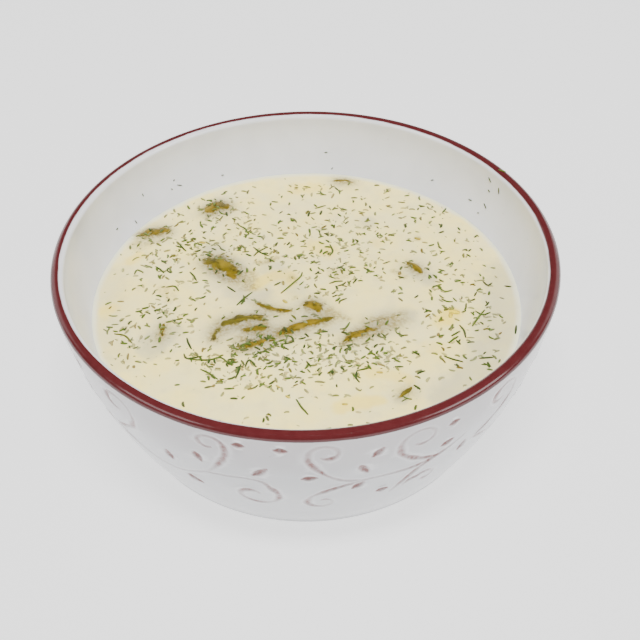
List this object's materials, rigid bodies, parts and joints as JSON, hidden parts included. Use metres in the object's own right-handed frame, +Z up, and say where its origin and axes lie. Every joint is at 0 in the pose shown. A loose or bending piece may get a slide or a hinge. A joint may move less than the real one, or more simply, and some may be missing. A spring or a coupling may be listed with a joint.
{
  "type": "bowl of lettuce soup",
  "caption": "Round white glazed bowl with a dark red rim and a carved vine-scroll ornament, filled with pale cream soup with cooked lettuce and chopped dill.",
  "frame": {"origin": "on the table, under the middle of the bowl", "axes": "+Z up, -Y to the front, +X to the right as seen from the front"},
  "size_m": [0.16, 0.16, 0.0652],
  "materials": {
    "glaze": "gloss",
    "soup": "gloss",
    "lettuce": "satin"
  },
  "bodies": {
    "root": {"bowl": "glaze", "soup": "soup", "lettuce_left": "lettuce", "lettuce_back_left": "lettuce", "lettuce_edge": "lettuce", "lettuce_fold": "lettuce", "lettuce_fold_front": "lettuce", "lettuce_long": "lettuce", "lettuce_mid": "lettuce", "lettuce_strand": "lettuce", "lettuce_right": "lettuce", "lettuce_streak": "lettuce", "lettuce_far_right": "lettuce", "lettuce_stem": "lettuce", "lettuce_front": "lettuce", "lettuce_back": "lettuce"}
  },
  "joints": []
}
